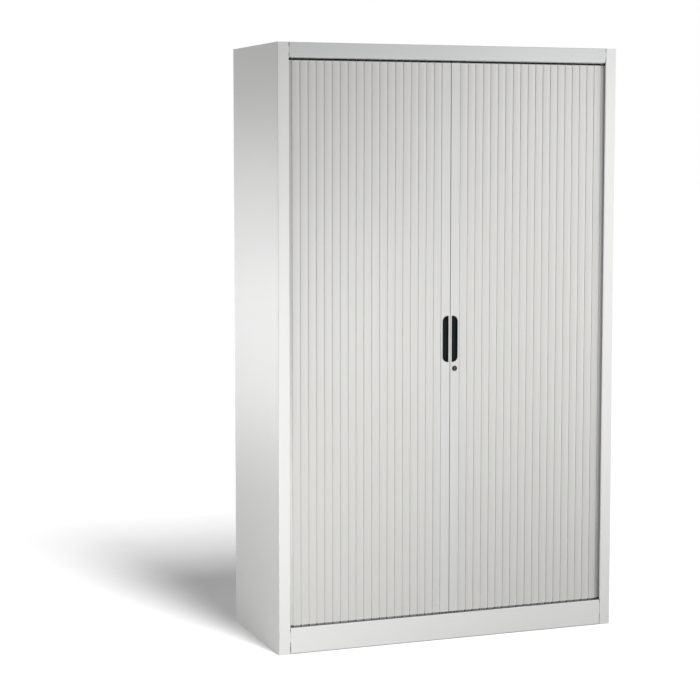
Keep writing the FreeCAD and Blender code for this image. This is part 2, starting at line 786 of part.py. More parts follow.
def shelf_clip(name, side, y, level):
    """Tongue through the upright's slot, and a leg down the upright's face."""
    half = dim.clip_width / 2
    tail, tip = lining_inner - dim.seat_gap, upright_inner - dim.clip_reach
    leg_face = upright_inner - dim.seat_gap
    spans = ((tip, tail), (leg_face - dim.clip_leg_gauge, leg_face))
    (tip, tail), (leg_in, leg_out) = spans if side == RIGHT else [(-b, -a) for a, b in spans]
    tongue = block(name + "Tongue", (tip, y - half, level - dim.clip_gauge),
                   (tail, y + half, level))
    leg = block(name + "Leg", (leg_in, y - half, level - dim.clip_gauge - dim.clip_leg),
                (leg_out, y + half, level - dim.clip_gauge))
    return fused(name, tongue, leg)


def shelf_clips():
    pieces = []
    for index in range(int(dim.shelf_count.value)):
        for side in SIDES:
            for place, y in UPRIGHT_PLACES.items():
                name = f"Clip{index}{SIDES[side]}{place}"
                pieces.append(shelf_clip(name, side, y, clip_level(index)))
    return group("shelf_clips", pieces)


# Guide tracks

def track_band(side, half_band, tail):
    """Outline of a band along the track's path, half_band to each side of it.

    The path runs from the middle along the front, round the front corner, back along the
    side, round the rear corner and along the back. The tail lengthens both of its ends.
    """
    outer, inner = dim.corner_bend + half_band, dim.corner_bend - half_band
    rear_outer, rear_inside = rear_bend + half_band, rear_bend - half_band
    start = dim.joint_gap / 2 - tail
    end = opening_half - dim.rear_track_run - tail
    front_out, front_in = track_front - half_band, track_front + half_band
    side_out, side_in = track_side + half_band, track_side - half_band
    rear_out, rear_in = track_rear + half_band, track_rear - half_band
    return [
        (side * start, front_out), (side * side_out, front_out, outer),
        (side * side_out, rear_out, rear_outer), (side * end, rear_out),
        (side * end, rear_in), (side * side_in, rear_in, rear_inside),
        (side * side_in, front_in, inner), (side * start, front_in),
    ]


def track(side, level, bottom, height, groove_bottom, groove_height):
    """Guide track: a rail along the path with a groove for the guide pins."""
    body = new_body(f"{SIDES[side]}_{level}_track")
    add(body, "XY", bottom, height, track_band(side, dim.track_width / 2, 0))
    cut(body, "XY", groove_bottom, groove_height,
        track_band(side, dim.groove_width / 2, dim.cut_overrun))
    return node(body.Name, body)


def tracks(side):
    track(side, "lower", base_top, dim.lower_track_height, base_top + dim.track_floor,
          dim.lower_track_height - dim.track_floor + dim.cut_overrun)
    track(side, "upper", upper_track_bottom, dim.upper_track_height,
          upper_track_bottom - dim.cut_overrun,
          dim.upper_track_height - dim.track_roof + dim.cut_overrun)


def track_stops():
    """Blocks that close the tracks' ends behind the back run, so that the leaf stops there."""
    pieces = []
    half = dim.track_width / 2
    for side in SIDES:
        end = opening_half - dim.rear_track_run
        near, far = sorted((side * end, side * (end - dim.stop_length)), key=lambda s: s.value)
        for name, low, high in (
            ("Lower", base_top, base_top + dim.lower_track_height),
            ("Upper", upper_track_bottom, head_bottom),
        ):
            pieces.append(block(f"Stop{SIDES[side]}{name}", (near, track_rear - half, low),
                                (far, track_rear + half, high)))
    return group("track_stops", pieces)


# Curtain slats, drawn with the leading hinge line at the origin, +X away from the closing bar
# and -Y outwards

socket_radius = dim.hook_bead_radius + dim.hook_clearance
ring_radius = socket_radius + dim.hook_wall
slat_start = ring_radius + 2 * dim.hook_clearance
slat_half = dim.slat_thickness / 2
slat_end = dim.slat_pitch + dim.hook_lip


def slat():
    """Hollow slat: crowned face, bead on the leading edge, socket on the trailing edge."""
    body = new_body("slat_pattern_piece")
    pitch, wall, edge = dim.slat_pitch, dim.slat_wall, slat_half - dim.slat_crown
    taper = dim.slat_back_taper
    shell = [
        (slat_start, -edge), (slat_start + taper, -slat_half), (slat_end - taper, -slat_half),
        (slat_end, -edge), (slat_end, -socket_radius / 2),
        (pitch - socket_radius, -socket_radius / 2), (pitch - taper, slat_half),
        (taper, slat_half), (slat_start, edge - dim.hook_bead_radius),
    ]
    add(body, "XY", slat_bottom, slat_top - slat_bottom, shell, chamber(0))
    length = slat_top - slat_bottom
    add(body, "XY", slat_bottom, length, (pitch, 0, ring_radius))
    cut(body, "XY", slat_bottom - dim.cut_overrun, length + 2 * dim.cut_overrun,
        (pitch, 0, socket_radius))
    cut(body, "XY", slat_bottom - dim.cut_overrun, length + 2 * dim.cut_overrun,
        rectangle(pitch, -socket_radius / 2, pitch + 2 * ring_radius, 2 * ring_radius))
    add(body, "XY", slat_bottom, length, (0, 0, dim.hook_bead_radius))
    add(body, "XY", slat_bottom, length,
        rectangle(0, -dim.hook_neck / 2, slat_start + wall / 2, dim.hook_neck / 2))
    return body


def chamber(inset):
    """Outline of the slat's hollow, or of the plug that fills it, inset from its wall."""
    pitch, wall, taper = dim.slat_pitch, dim.slat_wall, dim.slat_back_taper
    front = slat_half - dim.slat_crown - wall - inset
    back = slat_half - wall - inset
    lead, trail = slat_start + wall + inset, pitch - ring_radius - wall - inset
    return [
        (lead, -front), (trail, -front), (pitch - taper - 2 * wall - inset, back),
        (taper + wall + inset, back),
    ]


def slat_plug(level, face, out):
    """Plug in a slat's end, with an arm to the hinge line and a guide pin on it.

    face is the height of the slat's end and out is 1 above it, -1 below it.
    """
    body = new_body(f"slat_plug_{level}")
    plate_far = face + out * dim.plug_plate
    pin_far = pin_tip(out)
    add_between(body, face - out * dim.plug_depth, face, chamber(dim.plug_clearance))
    half = slat_half - 2 * dim.slat_crown
    add_between(body, face, plate_far, rectangle(
        -dim.guide_pin_radius, -half, dim.slat_pitch - 2 * dim.slat_back_taper, half))
    add_between(body, plate_far, pin_far, (0, 0, dim.guide_pin_radius))
    return body


def pin_tip(out):
    """Height of the guide pins' ends, above or below the slats."""
    if out > 0:
        return upper_track_bottom + dim.upper_track_height - dim.track_roof - dim.pin_headroom
    return base_top + dim.track_floor + dim.running_gap


def add_between(body, one, other, *shapes):
    """Adds the shapes between two heights, given in either order."""
    low, high = sorted((one, other), key=lambda height: height.value)
    return add(body, "XY", low, high - low, *shapes)


def path_point(distance):
    """Point of the right-hand track's path at that distance from the cabinet's middle."""
    radius, rear_radius = dim.corner_bend.value, rear_bend.value
    quarter = radius * math.pi / 2
    corner_x, corner_y = front_run.value, track_front.value + radius
    rear_x, rear_y = track_side.value - rear_radius, track_rear.value - rear_radius
    if distance < corner_x:
        return distance, track_front.value
    distance -= corner_x
    if distance < quarter:
        angle = distance / radius
        return corner_x + radius * math.sin(angle), corner_y - radius * math.cos(angle)
    distance -= quarter
    if distance < rear_y - corner_y:
        return track_side.value, corner_y + distance
    angle = (distance - (rear_y - corner_y)) / rear_radius
    return rear_x + rear_radius * math.cos(angle), rear_y + rear_radius * math.sin(angle)


HALVINGS = 40


def next_hinge(distance):
    """Distance along the path to the hinge line one slat pitch further on, as the crow flies."""
    x, y = path_point(distance)
    near, far = distance, distance + 2 * dim.slat_pitch.value
    for _ in range(HALVINGS):
        middle = (near + far) / 2
        other_x, other_y = path_point(middle)
        if math.hypot(other_x - x, other_y - y) < dim.slat_pitch.value:
            near = middle
        else:
            far = middle
    return near


def slat_placements():
    """Placement of every slat of the right leaf, closed: on the path from hinge to hinge."""
    distance = bar_hinge.value
    placements = []
    for _ in range(int(dim.slats_per_leaf.value)):
        x, y = path_point(distance)
        distance = next_hinge(distance)
        end_x, end_y = path_point(distance)
        turn = math.degrees(math.atan2(end_y - y, end_x - x))
        placements.append(FreeCAD.Placement(
            FreeCAD.Vector(x, y, 0), FreeCAD.Rotation(FreeCAD.Vector(0, 0, 1), turn)))
    return placements


def curtain(side, kind, patterns):
    """The pattern pieces once for each slat of a leaf; the left leaf mirrors the right one."""
    pieces = []
    for i, placement in enumerate(slat_placements()):
        for pattern in patterns:
            shape = pattern.Shape.copy()
            shape.Placement = placement
            if side == LEFT:
                shape = shape.mirror(FreeCAD.Vector(0, 0, 0), FreeCAD.Vector(1, 0, 0))
            feature = doc.addObject("Part::Feature", f"{SIDES[side]}{kind}{i}{pattern.Name}")
            feature.Shape = shape
            pieces.append(feature)
    return group(f"{SIDES[side]}_curtain_{kind}", pieces)


# Closing bars

def mirrored_span(side, near, far):
    """The span from near to far off the middle plane, on that side, low end first."""
    return (side * near, side * far) if side == RIGHT else (side * far, side * near)


cup_near = leaf_edge + dim.cup_edge_margin
cup_far = cup_near + dim.cup_width
cup_low = dim.cup_centre_height - dim.cup_height / 2
cup_high = dim.cup_centre_height + dim.cup_height / 2
lock_x = leaf_edge + dim.bar_width / 2
lock_height = cup_low - dim.lock_drop
bar_hinge = leaf_edge + dim.bar_width - dim.hook_lip


def cup_outline(side, inset):
    """D shape: straight towards the middle of the cabinet, rounded away from it."""
    near, far = side * (cup_near + inset), side * (cup_far - inset)
    low, high = cup_low + inset, cup_high - inset
    large, small = dim.cup_corner_radius - inset, dim.cup_small_radius
    return [(near, low, small), (far, low, large), (far, high, large), (near, high, small)]


def closing_bar(side):
    """Hollow bar at a leaf's closing edge, with a socket for the first slat's bead.

    It is cut out for the finger cup, and on the right for the lock.
    """
    body = new_body(f"{SIDES[side]}_closing_bar")
    near, far = side * leaf_edge, side * (leaf_edge + dim.bar_width)
    hinge, tube_far = side * bar_hinge, side * (bar_hinge - socket_radius)
    wall = dim.bar_wall
    lip_back = track_front - socket_radius / 2
    length = slat_top - slat_bottom
    add(body, "XY", slat_bottom, length,
        [(near, bar_front, wall), (far, bar_front), (far, lip_back), (tube_far, lip_back),
         (tube_far, bar_back, wall), (near, bar_back, wall)],
        rectangle(near + side * wall, bar_front + wall, tube_far - side * wall, bar_back - wall))
    add(body, "XY", slat_bottom, length, (hinge, track_front, ring_radius))
    start, reach = slat_bottom - dim.cut_overrun, length + 2 * dim.cut_overrun
    cut(body, "XY", start, reach, (hinge, track_front, socket_radius))
    cut(body, "XY", start, reach, rectangle(
        hinge, lip_back, hinge + side * 2 * ring_radius, track_front + 2 * ring_radius))
    cut(body, "XZ", bar_front - dim.cut_overrun, wall + 2 * dim.cut_overrun,
        cup_outline(side, dim.cup_rim_overlap))
    if side == RIGHT:
        cut(body, "XZ", bar_front - dim.cut_overrun, dim.bar_depth + 2 * dim.cut_overrun,
            (side * lock_x, lock_height, dim.lock_barrel_radius + dim.lock_hole_fit))
    return node(body.Name, body)


def finger_cup(side):
    """Black plastic cup let into the closing bar, with a thin rim on the bar's face."""
    body = new_body(f"{SIDES[side]}_finger_cup")
    body_inset = dim.cup_rim_overlap + dim.cup_fit
    add(body, "XZ", bar_front - dim.cup_rim, dim.cup_rim, cup_outline(side, 0))
    add(body, "XZ", bar_front, dim.cup_depth, cup_outline(side, body_inset))
    cut(body, "XZ", bar_front - dim.cup_rim - dim.cut_overrun,
        dim.cut_overrun + dim.cup_rim + dim.cup_depth - dim.cup_wall,
        cup_outline(side, body_inset + dim.cup_wall))
    return node(body.Name, body)


def bar_end_cap(side, level, face, out):
    """Cap in a closing bar's end with two guide pins that run in the track."""
    body = new_body(f"{SIDES[side]}_bar_cap_{level}")
    inset = dim.bar_wall + dim.plug_clearance
    near, far = leaf_edge, bar_hinge - dim.guide_pin_radius - dim.running_gap
    spigot_far = bar_hinge - socket_radius - inset
    plate_far = face + out * dim.plug_plate
    add_between(body, face - out * dim.plug_depth, face, rectangle(
        side * (near + inset), bar_front + inset, side * spigot_far, bar_back - inset))
    add_between(body, face, plate_far, rectangle(
        side * near, bar_front, side * far, bar_back))
    for x in (near + dim.guide_pin_inset, far - dim.guide_pin_inset):
        add_between(body, plate_far, pin_tip(out), (side * x, track_front, dim.guide_pin_radius))
    return body


def bar_end_caps(side):
    caps = [bar_end_cap(side, "upper", slat_top, 1), bar_end_cap(side, "lower", slat_bottom, -1)]
    return group(f"{SIDES[side]}_bar_end_caps", caps)


# Lock

lock_front = bar_front - dim.lock_rim
lock_barrel_back = bar_back + dim.lock_barrel_proud
cam_front = lock_barrel_back + dim.seat_gap
cam_back = cam_front + dim.cam_gauge


def lock_housing():
    """Rim and barrel with a bore for the plug."""
    body = new_body("lock_housing")
    add(body, "XZ", lock_front, dim.lock_rim, (lock_x, lock_height, dim.lock_rim_radius))
    add(body, "XZ", bar_front, lock_barrel_back - bar_front,
        (lock_x, lock_height, dim.lock_barrel_radius))
    cut(body, "XZ", lock_front - dim.cut_overrun,
        lock_barrel_back - lock_front + 2 * dim.cut_overrun,
        (lock_x, lock_height, dim.plug_radius + dim.turning_fit))
    return node(body.Name, body)


def lock_nut():
    """Flat nut that holds the housing in the bar."""
    start = (lock_x, bar_back, lock_height)
    blank = facing_back(hexagon("LockNutBlank", dim.lock_nut_radius, start, dim.lock_nut_height))
    bore = pin_back("LockNutBore", dim.lock_barrel_radius + dim.turning_fit,
                    (lock_x, bar_back - dim.cut_overrun, lock_height),
                    dim.lock_nut_height + 2 * dim.cut_overrun)
    return node("lock_nut", cut_from("LockNut", blank, bore))


def lock_plug():
    """Turning plug with a key slot in front and a screw hole behind."""
    body = new_body("lock_plug")
    add(body, "XZ", lock_front, cam_front - lock_front,
        (lock_x, lock_height, dim.plug_radius))
    aside, above = dim.key_slot_width / 2, dim.key_slot_height / 2
    cut(body, "XZ", lock_front - dim.cut_overrun, dim.key_slot_depth + dim.cut_overrun,
        rectangle(lock_x - aside, lock_height - above,
                  lock_x + aside, lock_height + above))
    cut(body, "XZ", cam_front - dim.cam_screw_length - dim.seat_gap,
        dim.cam_screw_length + dim.seat_gap + dim.cut_overrun,
        (lock_x, lock_height, dim.cam_screw_radius + dim.hole_fit))
    return node(body.Name, body)


def hook_cam():
    """Arm that hangs down when the lock is open and swings over the strike pin when it is shut.

    Its slot lies on a circle about the lock's axis and is open on the arm's leading side.
    """
    body = new_body("hook_cam_blank")
    half, low = dim.cam_width / 2, lock_height - dim.cam_reach
    corner = dim.cam_corner_radius
    add(body, "XZ", cam_front, dim.cam_gauge,
        [(lock_x - half, low, corner), (lock_x + half, low, corner),
         (lock_x + half, lock_height), (lock_x - half, lock_height)])
    add(body, "XZ", cam_front, dim.cam_gauge, (lock_x, lock_height, dim.cam_hub_radius))
    cut(body, "XZ", cam_front - dim.cut_overrun, dim.cam_gauge + 2 * dim.cut_overrun,
        (lock_x, lock_height, dim.cam_screw_radius + dim.hole_fit))
    slot_half = dim.strike_pin_radius + dim.strike_clearance
    start = (lock_x, cam_front - dim.cut_overrun, lock_height)
    deep = dim.cam_gauge + 2 * dim.cut_overrun
    ring = cut_from("CamSlotRing", pin_back("CamSlotOuter", dim.strike_reach + slot_half, start, deep),
                    pin_back("CamSlotInner", dim.strike_reach - slot_half, start, deep))
    reach = dim.cam_reach + dim.cut_overrun
    side_block = block("CamSlotSide", (lock_x - reach, start[1], lock_height - reach),
                       (lock_x + slot_half, start[1] + deep, lock_height - dim.cam_hub_radius))
    slot = doc.addObject("Part::Common", "CamSlot")
    slot.Base, slot.Tool = ring, side_block
    return node("hook_cam", cut_from("HookCam", body, slot))


def cam_screw():
    """Pan-head screw through the cam into the plug."""
    start = cam_front - dim.cam_screw_length
    shank = pin_back("CamScrewShank", dim.cam_screw_radius, (lock_x, start, lock_height),
                     cam_back - start)
    head = pin_back("CamScrewHead", dim.cam_screw_head_radius,
                    (lock_x, cam_back, lock_height), dim.cam_screw_head)
    return node("cam_screw", fused("CamScrew", shank, head))


def strike_plate():
    """Plate with the pin that the hook cam catches, behind the left closing bar."""
    pin_x = lock_x - dim.strike_reach
    edge = -leaf_edge - dim.strike_plate_inset
    low, high = (lock_height - dim.strike_plate_height / 2,
                 lock_height + dim.strike_plate_height / 2)
    plate_back = bar_back + dim.strike_plate_gauge
    plate = block("StrikePlateBlank", (edge - dim.strike_plate_width, bar_back, low),
                  (edge, plate_back, high))
    pin = pin_back("StrikePin", dim.strike_pin_radius, (pin_x, plate_back, lock_height),
                   dim.strike_pin_length)
    return node("strike_plate", fused("StrikePlate", plate, pin))


# Levelling feet

def foot_pad(name, x, y):
    """Round pad with a coned top and a socket for the stud."""
    disc = rod(f"{name}Disc", dim.foot_radius, (x, y, 0), dim.foot_rim)
    cone = doc.addObject("Part::Cone", f"{name}Cone")
    bind(cone, "Radius1", dim.foot_radius)
    bind(cone, "Radius2", dim.foot_neck_radius)
    bind(cone, "Height", dim.foot_height - dim.foot_rim)
    placed(cone, x, y, dim.foot_rim)
    socket = rod(f"{name}Socket", dim.stud_radius + dim.turning_fit,
                 (x, y, dim.foot_socket_floor), dim.foot_height)
    return node(f"{name}_pad", cut_from(f"{name}Pad", fused(f"{name}Blank", disc, cone), socket))


def foot_stud(name, x, y):
    """Threaded stud that turns in the pad and in the bracket's nut."""
    low = dim.foot_socket_floor + dim.seat_gap
    shank = rod(f"{name}Shank", dim.stud_radius, (x, y, low), dim.stud_top - low)
    collar = hexagon(f"{name}Collar", dim.stud_collar_radius,
                     (x, y, dim.foot_height + dim.seat_gap), dim.stud_collar_height)
    return node(f"{name}_stud", fused(f"{name}Stud", shank, collar))


def foot_bracket(name, side, x, y):
    """Angle on the side panel with a welded nut for the stud."""
    half = dim.bracket_width / 2
    plate_x = mirrored_span(side, sheet_reach - dim.bracket_length, sheet_reach)
    wall_x = mirrored_span(side, sheet_reach - dim.bracket_wall, sheet_reach)
    low = dim.bracket_height
    plate_high = low + dim.bracket_gauge
    plate = block(f"{name}Plate", (plate_x[0], y - half, low), (plate_x[1], y + half, plate_high))
    wall = block(f"{name}Wall", (wall_x[0], y - half, plate_high),
                 (wall_x[1], y + half, low + dim.bracket_wall_height))
    nut = hexagon(f"{name}Nut", dim.bracket_nut_radius, (x, y, plate_high),
                  dim.bracket_nut_height)
    bore = rod(f"{name}Bore", dim.stud_radius + dim.turning_fit, (x, y, low - dim.cut_overrun),
               dim.bracket_gauge + dim.bracket_nut_height + 2 * dim.cut_overrun)
    return cut_from(f"{name}Bracket", fused(f"{name}BracketBlank", plate, wall, nut), bore)


def levelling_feet():
    brackets = []
    for end, sign in (("front", -1), ("rear", 1)):
        for side, word in SIDES.items():
            name = f"{end}_{word}_foot"
            x = side * (half_width - dim.foot_inset_x)
            y = sign * (half_depth - dim.foot_inset_y)
            foot_pad(name, x, y)
            foot_stud(name, x, y)
            brackets.append(foot_bracket(name, side, x, y))
    group("foot_brackets", brackets)


def build_carcass():
    for side in SIDES:
        side_panel(side)
        back_panel(side)
        side_lining(side)
        tracks(side)
    top_panel()
    back_stiffener()
    back_rivets()
    base_panel()
    plinth_panel()
    rear_base_rail()
    head_panel()
    rear_lining()
    raised_floor()
    track_stops()


def build_shelving():
    for side in SIDES:
        for place, y in UPRIGHT_PLACES.items():
            upright(side, place, y)
    for index in range(int(dim.shelf_count.value)):
        shelf(index)
    shelf_clips()


def build_leaves():
    slat_piece = slat()
    plugs = [slat_plug("upper", slat_top, 1), slat_plug("lower", slat_bottom, -1)]
    doc.recompute()
    for side in SIDES:
        closing_bar(side)
        finger_cup(side)
        bar_end_caps(side)
        curtain(side, "slats", [slat_piece])
        curtain(side, "guides", plugs)


def build_lock():
    lock_housing()
    lock_nut()
    lock_plug()
    hook_cam()
    cam_screw()
    strike_plate()


def check_features():
    """Stops if a feature failed, a cut took nothing away or a piece isn't a valid solid."""
    for thing in doc.Objects:
        if {"Invalid", "Error"} & set(thing.State):
            raise RuntimeError(f"{thing.Name} failed: {thing.State}")
    for pocket in cuts:
        if pocket.Shape.Volume >= pocket.BaseFeature.Shape.Volume:
            raise RuntimeError(f"{pocket.Name} cuts nothing")
    for name, thing in nodes.items():
        shape = thing.Shape
        if shape.isNull() or not shape.isValid() or not shape.Solids:
            raise RuntimeError(f"{name} has no valid solid")


def write_parts():
    os.makedirs("parts", exist_ok=True)
    for name, thing in nodes.items():
        thing.Shape.exportStep(f"parts/{name}.step")
        print(f"{name}: {len(thing.Shape.Solids)} solids, {thing.Shape.Volume / MM3_PER_CM3:.1f} cm3")


build_carcass()
build_shelving()
build_leaves()
build_lock()
levelling_feet()
doc.recompute()
check_features()
write_parts()
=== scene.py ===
"""Looks of a tall light grey tool cabinet with two slatted leaves that slide sideways.

Metres, +Z up, the front faces -Y, and the origin lies on the floor under the middle.
"""
import json
import math

import bpy
import numpy as np
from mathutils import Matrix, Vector


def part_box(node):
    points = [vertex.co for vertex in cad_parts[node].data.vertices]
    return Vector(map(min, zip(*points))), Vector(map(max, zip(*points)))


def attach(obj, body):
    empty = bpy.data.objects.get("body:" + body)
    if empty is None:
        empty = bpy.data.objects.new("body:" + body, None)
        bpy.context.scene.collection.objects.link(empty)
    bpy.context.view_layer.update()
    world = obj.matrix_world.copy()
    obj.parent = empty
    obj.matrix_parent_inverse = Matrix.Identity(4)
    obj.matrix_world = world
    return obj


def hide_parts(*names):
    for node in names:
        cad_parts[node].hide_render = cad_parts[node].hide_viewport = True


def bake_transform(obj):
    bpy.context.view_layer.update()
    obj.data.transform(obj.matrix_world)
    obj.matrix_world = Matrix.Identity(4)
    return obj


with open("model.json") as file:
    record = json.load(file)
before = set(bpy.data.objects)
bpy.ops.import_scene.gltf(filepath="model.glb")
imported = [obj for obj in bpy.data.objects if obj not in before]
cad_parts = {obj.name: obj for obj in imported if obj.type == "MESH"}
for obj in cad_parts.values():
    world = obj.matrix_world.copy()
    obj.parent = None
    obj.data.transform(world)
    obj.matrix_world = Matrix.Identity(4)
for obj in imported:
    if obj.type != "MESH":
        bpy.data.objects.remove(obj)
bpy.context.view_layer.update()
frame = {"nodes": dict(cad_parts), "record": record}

MM = 0.001
TURN = 2 * math.pi
LEFT, RIGHT = -1, 1
SIDE_NAMES = {LEFT: "left", RIGHT: "right"}


# Shader maths

class Sock:
    """A node socket of one material. Sums and products on it add Math nodes."""

    def __init__(self, paint, socket):
        self.paint = paint
        self.socket = socket

    def maths(self, operation, *values):
        return self.paint.node("ShaderNodeMath", {"operation": operation}, *values)

    def __add__(self, other):
        return self.maths("ADD", self, other)

    __radd__ = __add__

    def __sub__(self, other):
        return self.maths("SUBTRACT", self, other)

    def __rsub__(self, other):
        return self.maths("SUBTRACT", other, self)

    def __mul__(self, other):
        return self.maths("MULTIPLY", self, other)

    __rmul__ = __mul__

    def clipped(self, low, high):
        return self.maths("MINIMUM", self.maths("MAXIMUM", self, low), high)

    def ramped(self, low, high):
        """0 up to low and 1 from high on, with an even slope between them."""
        return ((self - low) * (1 / (high - low))).clipped(0, 1)


class Paint:
    """A material under construction."""

    def __init__(self, name):
        self.material = bpy.data.materials.new(name)
        self.material.use_nodes = True
        self.tree = self.material.node_tree
        self.shader = self.tree.nodes["Principled BSDF"]
        self.place = self.node("ShaderNodeTexCoord", {}, output="Object")

    def put(self, socket, value):
        """Links another node's output to the socket, or sets its plain value."""
        if isinstance(value, Sock):
            self.tree.links.new(value.socket, socket)
        else:
            socket.default_value = value

    def node(self, kind, settings, *values, output=0, **named):
        """Adds a node, with its settings first and then what its sockets hold."""
        made = self.tree.nodes.new(kind)
        for key, value in settings.items():
            setattr(made, key, value)
        for i, value in enumerate(values):
            self.put(made.inputs[i], value)
        for key, value in named.items():
            self.put(made.inputs[key.replace("_", " ")], value)
        return Sock(self, made.outputs[output])

    def stretched(self, x, y, z):
        """The object's coordinates, multiplied along each axis."""
        return self.node("ShaderNodeMapping", {}, self.place, Scale=(x, y, z))

    def noise(self, per_metre, detail=2.0, roughness=0.5, where=None):
        return self.node("ShaderNodeTexNoise", {}, Vector=where or self.place,
                         Scale=per_metre, Detail=detail, Roughness=roughness)

    def between(self, share, first, second):
        """A colour that goes from first to second as share goes from 0 to 1."""
        made = self.tree.nodes.new("ShaderNodeMix")
        made.data_type = "RGBA"
        sockets = {s.identifier: s for s in made.inputs}
        self.put(sockets["Factor_Float"], share)
        for key, colour in (("A_Color", first), ("B_Color", second)):
            self.put(sockets[key], colour if isinstance(colour, Sock) else (*colour, 1))
        return Sock(self, next(s for s in made.outputs if s.identifier == "Result_Color"))

    def bump(self, height, strength, depth, under=None):
        """A relief of that depth in metres, on top of the one under it where there is one."""
        named = {"Height": height, "Strength": strength, "Distance": depth}
        if under is not None:
            named["Normal"] = under
        return self.node("ShaderNodeBump", {}, **named)

    def finish(self, **named):
        """Fills the shader's sockets, named with _ for each space, and gives the material."""
        for key, value in named.items():
            if isinstance(value, tuple):
                value = (*value, 1)
            self.put(self.shader.inputs[key.replace("_", " ")], value)
        return self.material


def srgb(*levels):
    """Linear colour of a screen colour given in levels from 0 to 255."""
    shares = np.array(levels) / 255
    return tuple(np.where(shares <= 0.04045, shares / 12.92, ((shares + 0.055) / 1.055) ** 2.4))


def scaled(colour, factor):
    """The colour times the factor, with no channel above 1."""
    return tuple(min(1.0, c * factor) for c in colour)


# Finishes

def powder_coat(name, colour):
    """Powder coat on sheet steel: fine orange peel and a faint cloudiness."""
    paint = Paint(name)
    cloud = paint.noise(3.0, 3.0)
    speck = paint.noise(900.0, 1.0)
    tone = paint.between(cloud, scaled(colour, 0.975), scaled(colour, 1.02))
    tone = paint.between(speck.ramped(0.62, 0.75) * 0.12, tone, scaled(colour, 0.8))
    peel = paint.bump(paint.noise(420.0, 2.0), 0.35, 0.00012)
    grain = paint.bump(speck, 0.3, 0.00003, peel)
    return paint.finish(Base_Color=tone, Normal=grain,
                        Roughness=0.36 + 0.08 * paint.noise(35.0, 3.0),
                        Specular_IOR_Level=0.5)


def slat_plastic():
    """Light grey extruded plastic: satin, with faint lines along the extrusion."""
    paint = Paint("light_grey_extruded_plastic")
    colour = srgb(204.5, 204, 201.5)
    drawn = paint.noise(1.0, 3.0, 0.6, paint.stretched(900, 900, 3))
    cloud = paint.noise(4.0, 2.0)
    tone = paint.between(cloud, scaled(colour, 0.98), scaled(colour, 1.015))
    tone = paint.between(drawn.ramped(0.35, 0.75) * 0.25, tone, scaled(colour, 0.94))
    return paint.finish(Base_Color=tone, Roughness=0.34 + 0.12 * drawn,
                        Normal=paint.bump(drawn, 0.25, 0.00006))


def moulded_plastic(name, colour, roughness, specular=0.5):
    """Moulded plastic with a fine spark-eroded grain."""
    paint = Paint(name)
    grain = paint.noise(2600.0, 2.0, 0.6)
    wear = paint.noise(60.0, 3.0)
    tone = paint.between(wear.ramped(0.4, 0.8) * 0.3, colour, scaled(colour, 1.5))
    return paint.finish(Base_Color=tone, Roughness=roughness + 0.12 * wear,
                        Normal=paint.bump(grain, 0.5, 0.00005), Specular_IOR_Level=specular)


def zinc_plate():
    """Bright zinc: blueish, softly mottled, with fine scratches."""
    paint = Paint("bright_zinc")
    mottle = paint.noise(90.0, 3.0)
    scratch = paint.noise(1.0, 2.0, 0.7, paint.stretched(250, 2200, 900))
    tone = paint.between(mottle, srgb(186, 189, 194), srgb(214, 215, 214))
    return paint.finish(Base_Color=tone, Metallic=1.0,
                        Roughness=0.28 + 0.22 * mottle + 0.1 * scratch,
                        Normal=paint.bump(scratch, 0.2, 0.00002))


LOCK_X, LOCK_HEIGHT = 16.5 * MM, 910 * MM
# Half widths of the painted highlight along the key slot: full up to the first, gone from the
# second
SLOT_HIGHLIGHT_TO, PLAIN_FROM = 1.2 * MM, 1.8 * MM


def lock_metal(name, slot_highlight=0.0):
    """Dark nickel with light wear, and where asked a painted highlight: a brighter band along the
    key slot.
    """
    paint = Paint(name)
    wear = paint.noise(700.0, 3.0)
    tone = paint.between(wear.ramped(0.45, 0.8), srgb(38, 39, 40), srgb(72, 72, 73))
    # Painted highlight: the colour brightens in a band along the key slot
    if slot_highlight:
        x = paint.node("ShaderNodeSeparateXYZ", {}, paint.place)
        aside = x.maths("ABSOLUTE", x - LOCK_X)
        near_slot = 1 - aside.ramped(SLOT_HIGHLIGHT_TO, PLAIN_FROM)
        tone = paint.between(near_slot * slot_highlight, tone, srgb(140, 139, 136))
    return paint.finish(Base_Color=tone, Metallic=1.0, Roughness=0.24 + 0.2 * wear,
                        Normal=paint.bump(paint.noise(1500.0, 2.0), 0.15, 0.00002))


FINISHES = {
    "carcass_steel": powder_coat("light_grey_powder_coat", srgb(225, 225, 224)),
    "closing_bar_metal": powder_coat("bar_powder_coat", srgb(207, 207, 205)),
    "slat_plastic": slat_plastic(),
    "cup_plastic": moulded_plastic("black_moulded_plastic", srgb(26, 31, 30), 0.5, 0.07),
    "track_plastic": moulded_plastic("grey_track_plastic", srgb(150, 152, 152), 0.45),
    "guide_plastic": moulded_plastic("dark_guide_plastic", srgb(70, 71, 72), 0.45),
    "lock_metal": lock_metal("dark_nickel"),
    "zinc_steel": zinc_plate(),
    "foot_plastic": moulded_plastic("black_foot_plastic", srgb(34, 34, 35), 0.55),
}
NODE_FINISHES = {
    # The top panel gets a darker copy of the carcass's light grey coat: painted shade
    "top_panel": powder_coat("rail_shaded_powder_coat", srgb(208, 210, 209)),
    # The plug's face gets the painted highlight along its key slot
    "lock_plug": lock_metal("dark_nickel_slot_highlight", 0.45),
}

for part in frame["record"]["subparts"]:
    finish = NODE_FINISHES.get(part["node"], FINISHES[part["material_slot"]])
    frame["nodes"][part["node"]].data.materials.clear()
    frame["nodes"][part["node"]].data.materials.append(finish)


# Meshes

def closed_loop_faces(loops, points, ring=False):
    """Quads between neighbouring closed loops that follow each other in the point list. In a
    ring the last loop is also joined to the first."""
    here = np.arange(loops if ring else loops - 1)[:, None]
    ahead = (here + 1) % loops * points
    column = np.arange(points)
    beside = (column + 1) % points
    return np.stack([here * points + column, here * points + beside,
                     ahead + beside, ahead + column], -1).reshape(-1, 4)


